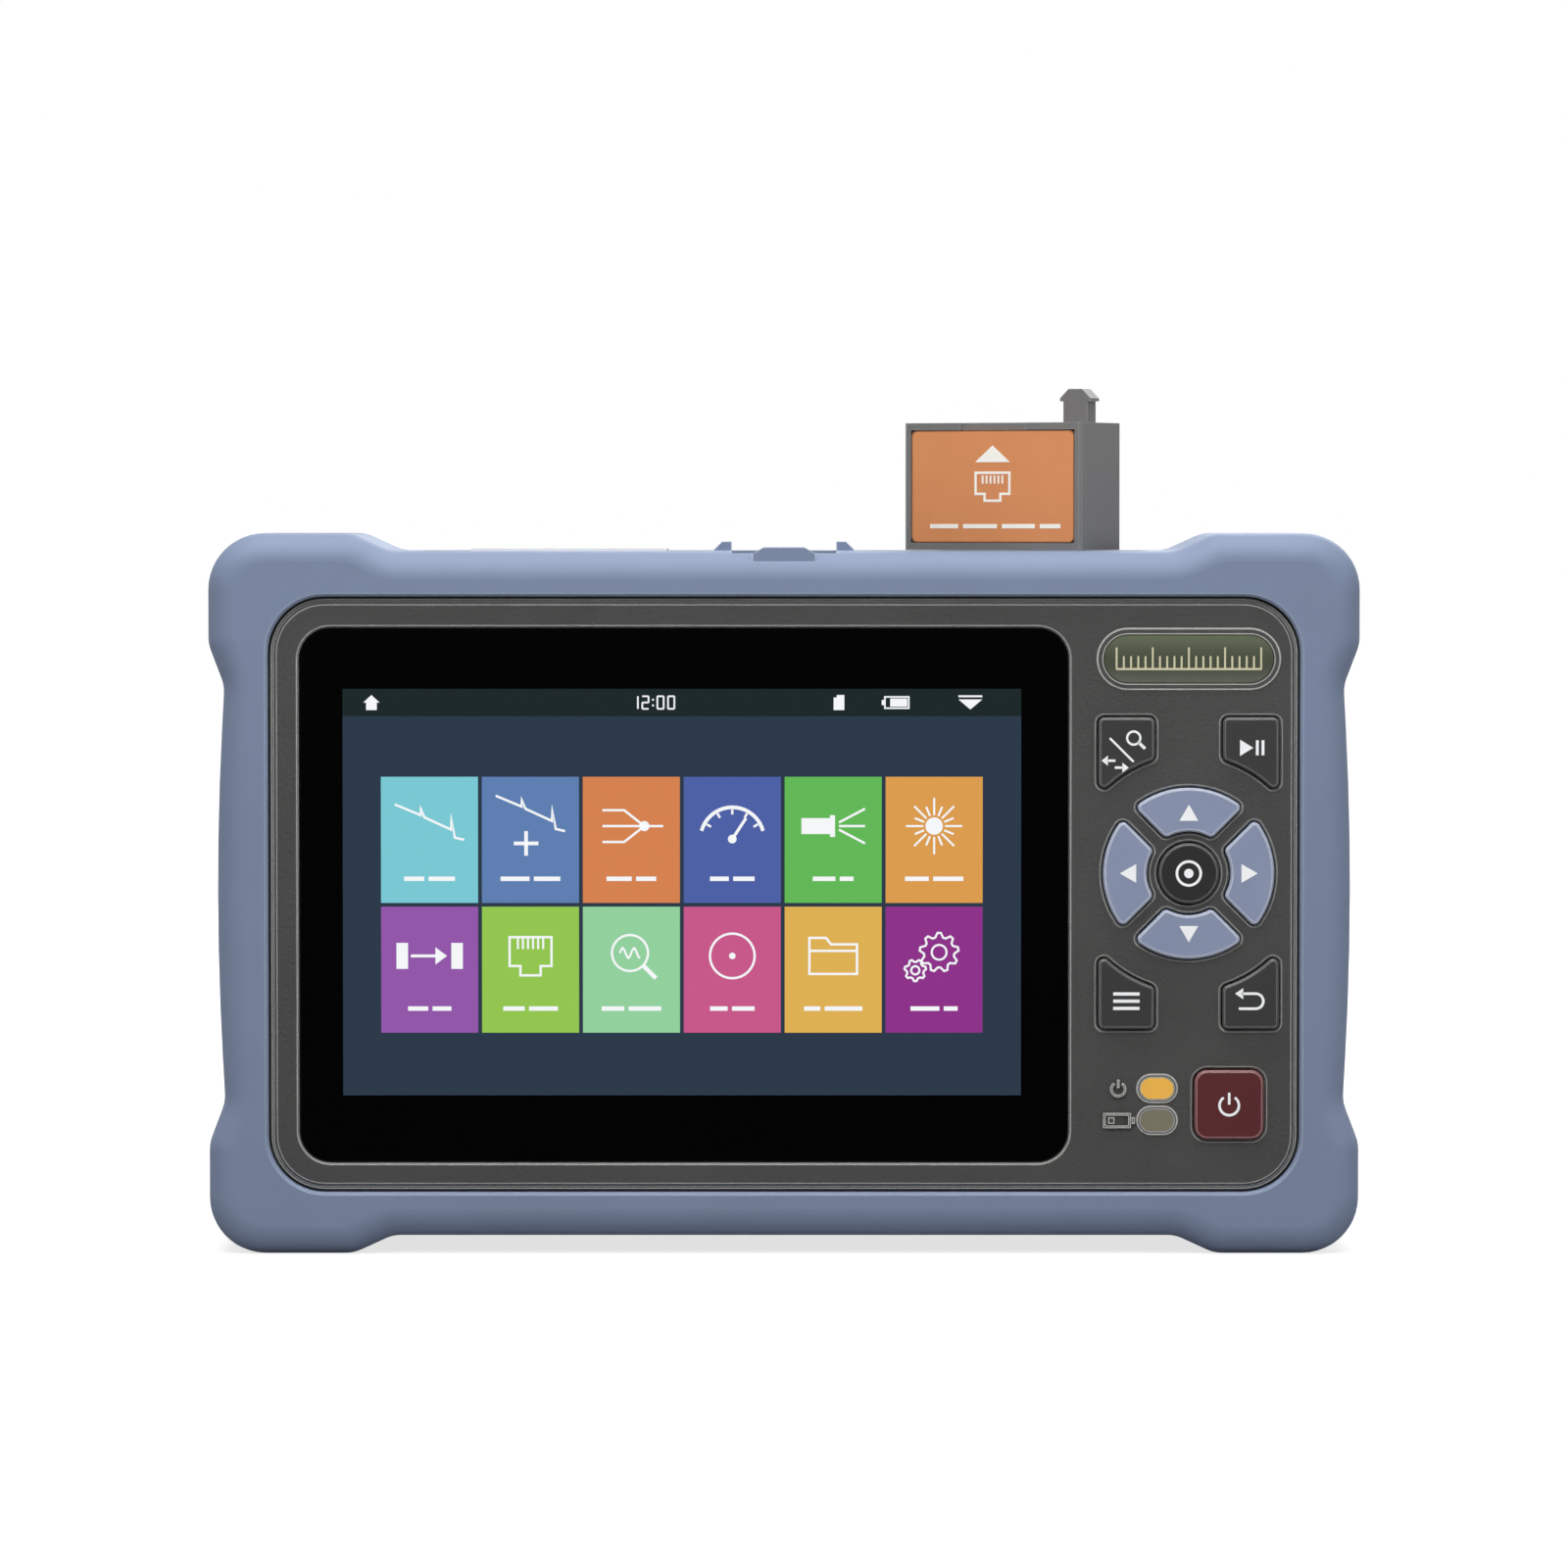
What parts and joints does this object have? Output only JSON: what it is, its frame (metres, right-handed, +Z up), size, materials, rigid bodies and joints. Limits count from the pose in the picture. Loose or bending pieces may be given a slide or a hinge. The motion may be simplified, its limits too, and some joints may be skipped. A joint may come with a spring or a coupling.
{
  "type": "optical time domain reflectometer",
  "caption": "Handheld fibre tester with touch display, keypad, two-piece rubber boot, hinged port covers, folding stand and a lift-out far-end unit.",
  "frame": {"origin": "on the surface it stands on, under the middle of the outer box", "axes": "+X to the right of the display, +Y from the display to the back, +Z up"},
  "size_m": [0.1836, 0.046, 0.1382],
  "materials": {
    "boot_rubber": "soft satin moulded rubber",
    "housing_plastic": "fine textured moulding",
    "silicone": "matt",
    "steel": "satin",
    "printed_glass": "polished, black printed border",
    "lcd": "flat panel",
    "dark_key": "satin",
    "arrow_key": "satin",
    "power_key": "satin",
    "circuit_board": "solder mask",
    "amber_lens": "lit lens",
    "dull_lens": "unlit lens",
    "lamp": "clear resin",
    "badge": "domed plate",
    "cast_shield": "satin",
    "battery_film": "shrink film",
    "black_plastic": "moulded",
    "adapter_metal": "nickel plated",
    "pale_cover": "soft matt",
    "cover_rubber": "soft matt",
    "remote_plastic": "fine textured moulding",
    "orange_label": "printed label"
  },
  "bodies": {
    "body": {"badge_plate": "badge", "battery_door": "housing_plastic", "battery_door_screws": "steel", "battery_pack": "battery_film", "board_screws": "steel", "buzzer": "black_plastic", "card_socket": "steel", "case_gasket": "silicone", "case_screws": "steel", "display_screws": "steel", "display_tray": "steel", "fibre_cover_pin": "steel", "front_bumper": "boot_rubber", "front_case": "housing_plastic", "key_board": "circuit_board", "key_board_screws": "steel", "key_mat": "silicone", "lan_cover_pin": "steel", "lan_jack": "black_plastic", "lcd_panel": "lcd", "led_charge_lamp": "lamp", "led_charge_lens": "dull_lens", "led_on_lamp": "lamp", "led_on_lens": "amber_lens", "main_board": "circuit_board", "meter_adapter": "adapter_metal", "optical_engine": "cast_shield", "otdr_adapter": "adapter_metal", "pointer_adapter": "adapter_metal", "port_plate": "cast_shield", "rear_bumper": "boot_rubber", "rear_case": "housing_plastic", "remote_bay": "black_plastic", "side_cover_pin": "steel", "stand_pins": "steel", "touch_glass": "printed_glass", "usb_socket": "steel"},
    "kickstand": {"kickstand": "housing_plastic"},
    "fibre_cover": {"fibre_cover": "pale_cover"},
    "lan_cover": {"lan_cover": "housing_plastic"},
    "side_cover": {"side_cover": "cover_rubber"},
    "remote": {"remote_shell": "remote_plastic", "remote_label": "orange_label", "remote_base": "remote_plastic", "remote_jack": "black_plastic", "remote_board": "circuit_board"},
    "key_zoom": {"key_zoom": "dark_key"},
    "key_play": {"key_play": "dark_key"},
    "key_up": {"key_up": "arrow_key"},
    "key_down": {"key_down": "arrow_key"},
    "key_left": {"key_left": "arrow_key"},
    "key_right": {"key_right": "arrow_key"},
    "key_ok": {"key_ok": "dark_key"},
    "key_set": {"key_set": "dark_key"},
    "key_esc": {"key_esc": "dark_key"},
    "key_power": {"key_power": "power_key"}
  },
  "joints": [
    {"name": "press_zoom", "type": "slide", "parent": "body", "child": "key_zoom", "axis": [0, 1, 0], "range_m": [0, 0.0008], "stiffness_N_per_m": 900},
    {"name": "press_play", "type": "slide", "parent": "body", "child": "key_play", "axis": [0, 1, 0], "range_m": [0, 0.0008], "stiffness_N_per_m": 900},
    {"name": "press_up", "type": "slide", "parent": "body", "child": "key_up", "axis": [0, 1, 0], "range_m": [0, 0.0008], "stiffness_N_per_m": 900},
    {"name": "press_down", "type": "slide", "parent": "body", "child": "key_down", "axis": [0, 1, 0], "range_m": [0, 0.0008], "stiffness_N_per_m": 900},
    {"name": "press_left", "type": "slide", "parent": "body", "child": "key_left", "axis": [0, 1, 0], "range_m": [0, 0.0008], "stiffness_N_per_m": 900},
    {"name": "press_right", "type": "slide", "parent": "body", "child": "key_right", "axis": [0, 1, 0], "range_m": [0, 0.0008], "stiffness_N_per_m": 900},
    {"name": "press_ok", "type": "slide", "parent": "body", "child": "key_ok", "axis": [0, 1, 0], "range_m": [0, 0.0008], "stiffness_N_per_m": 900},
    {"name": "press_set", "type": "slide", "parent": "body", "child": "key_set", "axis": [0, 1, 0], "range_m": [0, 0.0008], "stiffness_N_per_m": 900},
    {"name": "press_esc", "type": "slide", "parent": "body", "child": "key_esc", "axis": [0, 1, 0], "range_m": [0, 0.0008], "stiffness_N_per_m": 900},
    {"name": "press_power", "type": "slide", "parent": "body", "child": "key_power", "axis": [0, 1, 0], "range_m": [0, 0.0008], "stiffness_N_per_m": 900},
    {"name": "stand_fold", "type": "hinge", "parent": "body", "child": "kickstand", "pos_m": [0, 0.0202, 0.0815], "axis": [1, 0, 0], "range_deg": [0, 60]},
    {"name": "fibre_cover_hinge", "type": "hinge", "parent": "body", "child": "fibre_cover", "pos_m": [-0.03455, 0.0092, 0.1101], "axis": [-1, 0, 0], "range_deg": [0, 95]},
    {"name": "lan_cover_hinge", "type": "hinge", "parent": "body", "child": "lan_cover", "pos_m": [-0.0003, 0.0092, 0.1101], "axis": [-1, 0, 0], "range_deg": [0, 95]},
    {"name": "side_cover_hinge", "type": "hinge", "parent": "body", "child": "side_cover", "pos_m": [0.08725, 0.0092, 0.0575], "axis": [0, 0, 1], "range_deg": [0, 95]},
    {"name": "remote_lift", "type": "slide", "parent": "body", "child": "remote", "axis": [0, 0, 1], "range_m": [0, 0.03]}
  ]
}
